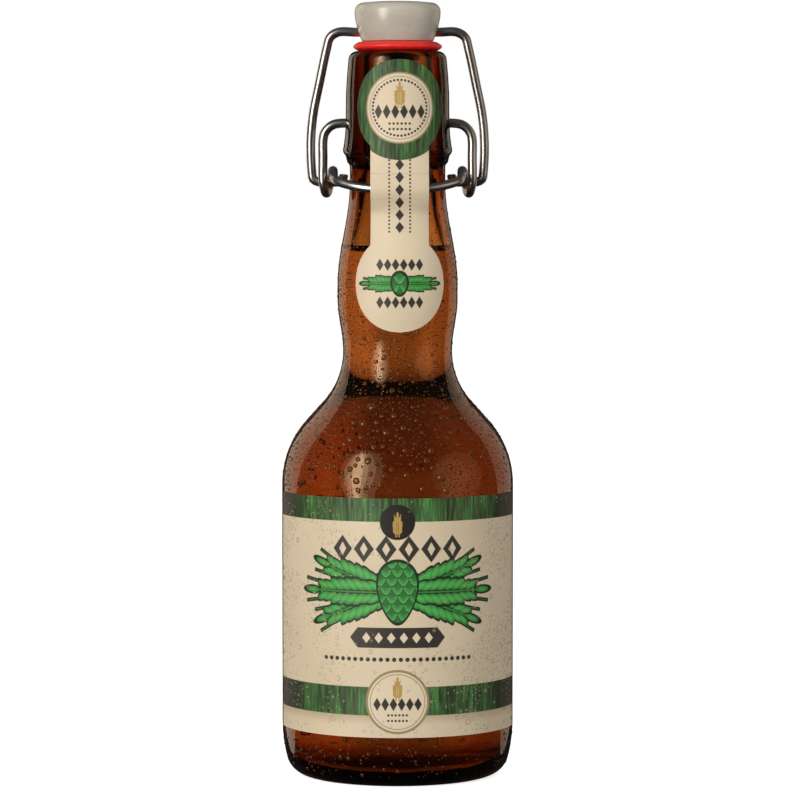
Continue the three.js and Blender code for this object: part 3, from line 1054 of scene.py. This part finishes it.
# %% Print of the seal
def seal_print():
    finish = Finish("printed_seal")
    flat = finish.node("ShaderNodeAttribute", {"attribute_name": "flat"}, None, 1)
    u, v = finish.split(flat, 2)
    colour = cream_paper(finish, u, v)

    head = v - SEAL_HEAD_Z
    ring = disc(u, head, 10.1)
    green = green_wood(finish, u * 1.1, v, 0.95)
    colour = finish.mix(ink(disc(u, head, SEAL_DISC_R + 1)) * ink(-ring), colour, green)
    colour = finish.mix(ink(abs(ring) - 0.22), colour, OLIVE_GOLD)
    colour = finish.mix(ink(abs(ring + 1.1) - 0.1), colour, OLIVE_GOLD)
    round_ring = u.angle_to(head) * 8.1
    dots = disc(repeat(round_ring, 1.06), ring + 2.1, 0.36)
    colour = finish.mix(ink(ear(head - 1.7, u, 4.4, 1.7, 1.9)), colour, GOLD)
    plate = lozenge(repeat(u, 2.5), head + 1.1, 1.15, 2.1) | box(u, head, 7.5, 20)
    fine = disc(repeat(u, 1.15), abs(head + 5.3) - 0.8, 0.36) | box(u, head, 3.45, 20)
    colour = finish.mix(ink(plate) | ink(fine) | ink(dots), colour, CHARCOAL)

    column = v - 169.0
    chain = lozenge(u, repeat(column, 3.6), 1.25, 1.65) | box(u, column, 9, 10.8)
    rails = disc(abs(u) - 3.0, repeat(column, 1.08), 0.3) | box(u, column, 9, 10.8)
    colour = finish.mix(ink(chain) | ink(rails), colour, CHARCOAL)

    low = v - SEAL_NECK_Z
    bars = lozenge(repeat(u, 2.3), abs(low) - 5.4, 1.1, 1.75) | box(u, low, 6.9, 20)
    colour = finish.mix(ink(bars), colour, CHARCOAL)
    colour = outlined_green(finish, colour, ear(abs(u) - 2.4, low, 7.4, 2.4, 2.5), 0.32)
    colour = hop_cone(finish, colour, u, low, 2.1, 3.0)
    return on_paper(finish, colour, u, v)


SEAL_FINISH = seal_print()


# %% Pieces of the seal
def disc_and_strap(centre_z, end_z):
    """Outline of a disc with a strap that ends at end_z, above or below it."""
    joint = math.degrees(math.acos(SEAL_STRAP / SEAL_DISC_R))
    way = 1 if end_z > centre_z else -1
    angles = [math.radians(joint - (180 + 2 * joint) * i / 52) for i in range(53)]
    round_part = [(SEAL_DISC_R * math.cos(a), centre_z + way * SEAL_DISC_R * math.sin(a)) for a in angles]
    return [(SEAL_STRAP, end_z), *round_part, (-SEAL_STRAP, end_z)]


def make_seal(name, outline, body, node):
    bm = bmesh.new()
    verts = [bm.verts.new((x, 0, z)) for x, z in outline]
    bmesh.ops.contextual_create(bm, geom=verts)
    low, high = min(z for _, z in outline), max(z for _, z in outline)
    planes = [((0, 0, low + i), (0, 0, 1)) for i in range(1, int(high - low) + 1)]
    planes += [((x, 0, 0), (1, 0, 0)) for x in range(-13, 14)]
    for place, way in planes:
        everything = [*bm.verts, *bm.edges, *bm.faces]
        bmesh.ops.bisect_plane(bm, geom=everything, dist=1e-4, plane_co=place, plane_no=way)
    flat = bm.verts.layers.float_vector.new("flat")
    for v in bm.verts:
        v[flat] = (v.co.x, v.co.z, 0)
        v.co = bend(v.co.x, v.co.z)
    give_thickness(bm, 0.16)
    return piece(name, bm, SEAL_FINISH, body, [node], sharp=40)


low_cut, high_cut = SEAL_CUTS
low, high = low_cut + SEAL_GAP, high_cut - SEAL_GAP
strap = [(SEAL_STRAP, low), (SEAL_STRAP, high), (-SEAL_STRAP, high), (-SEAL_STRAP, low)]
make_seal("seal_upper", disc_and_strap(SEAL_HEAD_Z, high_cut + SEAL_GAP), "bottle", "seal_head")
make_seal("seal_lower", disc_and_strap(SEAL_NECK_Z, low_cut - SEAL_GAP), "bottle", "seal_neck")
make_seal("seal_over_wire", strap, "lever", "seal_bridge")

# %% [markdown]
# ## Dew
# The bottle comes out of the cold, so water has gathered on it in thousands of low caps. A cap bends light
# away at its rim, which looks dark, and mirrors a lamp as a small light mark. Real bent rays through so many
# caps only turn to noise, so each cap is see-through and carries painted shade at its rim instead, with
# painted shade in its middle on glass and painted light in its middle on paper. Seeded random places keep the
# caps apart, and the larger ones gather where the photograph shows them.


# %% Caps of water
def water(name, rim_painted_shade, middle_painted_shading, rim_hides, middle_hides):
    """A cap lets through what is behind it, less at its rim; a share of it is hidden by painted shade or
    light.
    """
    finish = Finish(name)
    height = finish.node("ShaderNodeAttribute", {"attribute_name": "height"}, None, 2)
    # Painted shade covers the rim; the middle gets painted shading, which is darker on glass and lighter on
    # paper.
    near_rim = height.rise(0.97, 0.8)
    hides = near_rim * (rim_hides - middle_hides) + middle_hides
    return finish.shade(
        Base_Color=finish.mix(near_rim, middle_painted_shading, rim_painted_shade), Roughness=0.1, IOR=1.6,
        Specular_Tint=(1.0, 0.78, 0.6), Alpha=hides * height.rise(1.2, 1.1),
    )


def cap_of_water(name, around, rings):
    """Half a ball of radius 1; the attribute height is 0 at its rim, 1 at its top and 2 on its base."""
    bm = bmesh.new()
    bmesh.ops.create_uvsphere(bm, u_segments=around, v_segments=rings, radius=1)
    everything = [*bm.verts, *bm.edges, *bm.faces]
    cut = bmesh.ops.bisect_plane(
        bm, geom=everything, dist=1e-4, plane_co=(0, 0, 0), plane_no=(0, 0, 1), clear_inner=True,
    )
    rim = [g for g in cut["geom_cut"] if isinstance(g, bmesh.types.BMEdge)]
    bmesh.ops.edgeloop_fill(bm, edges=rim)
    bmesh.ops.recalc_face_normals(bm, faces=bm.faces)
    height = bm.loops.layers.float.new("height")
    for face in bm.faces:
        for corner in face.loops:
            corner[height] = 2 if face.normal.z < -0.5 else corner.vert.co.z
    return mesh_from(name, bm)


MIST_CAP = cap_of_water("mist_cap", 8, 4)
SMALL_CAP = cap_of_water("small_cap", 12, 6)
LARGE_CAP = cap_of_water("large_cap", 24, 12)
# Painted shade at both rims; painted shade in the middle on glass, and painted light in the middle on paper.
WATER = water("water_on_glass", (0.09, 0.03, 0.007), (0.12, 0.04, 0.01), 0.88, 0.38)
WATER_ON_PAPER = water("water_on_paper", (0.2, 0.16, 0.1), (0.85, 0.79, 0.66), 0.3, 0.2)
print("faces of a cap:", [len(cap.polygons) for cap in (MIST_CAP, SMALL_CAP, LARGE_CAP)])


# %% Strewing
WIDEST_R = 34
LARGE = 0.6
SMALL = 0.3
TRIES_PER_CAP = 40
CELLS_PER_RADIAN = 12
CELL_HEIGHT = 2.8
SINK = 0.03


def cell_of(angle, z):
    return int(angle * CELLS_PER_RADIAN), int(z / CELL_HEIGHT)


def stays_inside(angle, z, radius_at, lift):
    r = radius_at(z) + lift
    x, y = r * math.sin(angle) * MM, -r * math.cos(angle) * MM
    return cad_low[0] <= x <= cad_high[0] and cad_low[1] <= y <= cad_high[1]


def strew(seed, wanted, z_range, radius_at, allowed, sizes, spread, nearest, taken=()):
    """Random (angle, z, radius of the cap, lift) on the turned surface, kept apart, also from taken."""
    rng = random.Random(seed)
    caps = []
    cells = {}
    for angle, z, size, _ in taken:
        cells.setdefault(cell_of(angle, z), []).append((angle * radius_at(z), z, size))
    for _ in range(wanted * TRIES_PER_CAP):
        if len(caps) >= wanted:
            break
        angle, z = rng.uniform(-math.pi, math.pi), rng.uniform(*z_range)
        surface = radius_at(z)
        u = angle * surface
        if rng.random() * WIDEST_R > surface or rng.random() > allowed(u, z):
            continue
        size = min(sizes[1], sizes[0] * math.exp(abs(rng.gauss(0, spread))))
        lift = size * (rng.uniform(0.55, 0.68) if size > LARGE else rng.uniform(0.3, 0.42))
        column, row = cell_of(angle, z)
        nearby = [(column + i, row + j) for i in (-1, 0, 1) for j in (-1, 0, 1)]
        around = [c for cell in nearby for c in cells.get(cell, ())]
        if any(math.hypot(u - c[0], z - c[1]) < nearest * (size + c[2]) for c in around):
            continue
        if not stays_inside(angle, z, radius_at, lift):
            continue
        cells.setdefault((column, row), []).append((u, z, size))
        caps.append((angle, z, size, lift))
    return caps


def make_drops(name, caps, radius_at, finish):
    rng = random.Random(name)
    bm = bmesh.new()
    for angle, z, size, lift in caps:
        r = radius_at(z)
        slope = (radius_at(z + 0.3) - radius_at(z - 0.3)) / 0.6
        out = Vector((math.sin(angle), -math.cos(angle), -slope)).normalized()
        at = Vector((r * math.sin(angle), -r * math.cos(angle), z)) - out * SINK
        shape = Matrix.Diagonal((size, size * rng.uniform(0.93, 1.1), lift, 1))
        turned = out.to_track_quat("Z", "Y").to_matrix() @ Matrix.Rotation(rng.uniform(0, 6), 3, "Z")
        turned = turned.to_4x4()
        cap = (LARGE_CAP if size > LARGE else SMALL_CAP if size > SMALL else MIST_CAP).copy()
        cap.transform(Matrix.Scale(MM, 4) @ Matrix.Translation(at) @ turned @ shape)
        bm.from_mesh(cap)
        bpy.data.meshes.remove(cap)
    drops = piece(name, bm, finish, "bottle", None, sharp=50)
    drops.visible_shadow = False
    drops.visible_diffuse = False
    print(len(caps), "caps in", name)


# %% Where dew lies; u is the way round the bottle from its front, in millimetres
SEAL_MARGIN = 0.6
WAIST_DEW = (112, 123)
DRY_ABOVE = 152
NEAR_HALF = 1.6
LABEL_HALF_WIDTH = 45.5
BARE_FROM = 47.2


def on_seal(u, z):
    if (u**2 + (z - SEAL_NECK_Z) ** 2) ** 0.5 < SEAL_DISC_R + SEAL_MARGIN:
        return True
    return abs(u) < SEAL_STRAP + SEAL_MARGIN and z > SEAL_NECK_Z


def patchy(u, z):
    return min(max(noise.noise(Vector((u, z, 7)) * 0.05) * 1.6 + 0.65, 0.1), 1)


def on_near_half(u, z):
    if on_seal(u, z) or abs(u) > glass_radius(z) * NEAR_HALF:
        return 0
    return patchy(u, z) * (0.35 if WAIST_DEW[0] < z < WAIST_DEW[1] or z > DRY_ABOVE else 1)


def on_far_half(u, z):
    return patchy(u, z) if abs(u) > glass_radius(z) * NEAR_HALF else 0


def in_the_light(u, z):
    """Larger drops gather where the lamp at the left is mirrored, and here and there elsewhere."""
    if on_seal(u, z) or abs(u) > glass_radius(z) * 0.85:
        return 0
    middle = -9 if z < WAIST_DEW[0] else -5
    return 1 if abs(u - middle) < 6 else 0.14


def on_label(u, z):
    side = min(max((abs(u) - 15) / 12, 0), 1)
    cluster = min(max(noise.noise(Vector((u, z, 3)) * 0.085) * 3.2 + 0.6, 0.04), 1)
    return cluster * (0.08 + 0.92 * side) if abs(u) < LABEL_HALF_WIDTH else 0


def on_back(u, z):
    return patchy(u, z) if abs(u) > BARE_FROM else 0


def paper_radius(z):
    return BODY_R + 0.2


# %% Dew on glass and label
shoulder_large = strew(5, 60, (84.5, 109), glass_radius, in_the_light, (0.62, 1.3), 0.35, 1.35)
neck_large = strew(6, 34, (113, 140), glass_radius, in_the_light, (0.5, 0.85), 0.25, 1.4)
shoulder_small = strew(3, 850, (84, 113), glass_radius, on_near_half, (0.25, 0.6), 0.4, 1.25, shoulder_large)
neck_small = strew(7, 480, (113, 166), glass_radius, on_near_half, (0.24, 0.55), 0.4, 1.25, neck_large)
shoulder_dew = shoulder_small + shoulder_large
neck_dew = neck_small + neck_large
shoulder_mist = strew(19, 1600, (84, 113), glass_radius, on_near_half, (0.13, 0.26), 0.3, 1.1, shoulder_dew)
neck_mist = strew(23, 1000, (113, 160), glass_radius, on_near_half, (0.13, 0.26), 0.3, 1.1, neck_dew)
far_dew = strew(29, 1500, (84, 160), glass_radius, on_far_half, (0.16, 0.34), 0.35, 1.3)
foot_dew = strew(11, 400, (3.0, 14.6), glass_radius, patchy, (0.22, 0.6), 0.45, 1.25)
back_dew = strew(13, 1150, (14.6, 83.8), glass_radius, on_back, (0.25, 0.8), 0.5, 1.25)
label_dew = strew(17, 900, (16, 82.5), paper_radius, on_label, (0.33, 0.9), 0.42, 1.12)
make_drops("dew_shoulder", shoulder_large + shoulder_small + shoulder_mist, glass_radius, WATER)
make_drops("dew_neck", neck_large + neck_small + neck_mist, glass_radius, WATER)
make_drops("dew_body", foot_dew + back_dew + far_dew, glass_radius, WATER)
make_drops("dew_label", label_dew, paper_radius, WATER_ON_PAPER)

# %% [markdown]
# ## Render settings
# Light passes many walls of glass on its way through, so it may bend more often than is usual.


# %% Render settings that belong to the look
scene.view_settings.view_transform = "Standard"
scene.cycles.max_bounces = 24
scene.cycles.transmission_bounces = 24
scene.cycles.glossy_bounces = 8
scene.cycles.caustics_reflective = False
scene.cycles.caustics_refractive = False
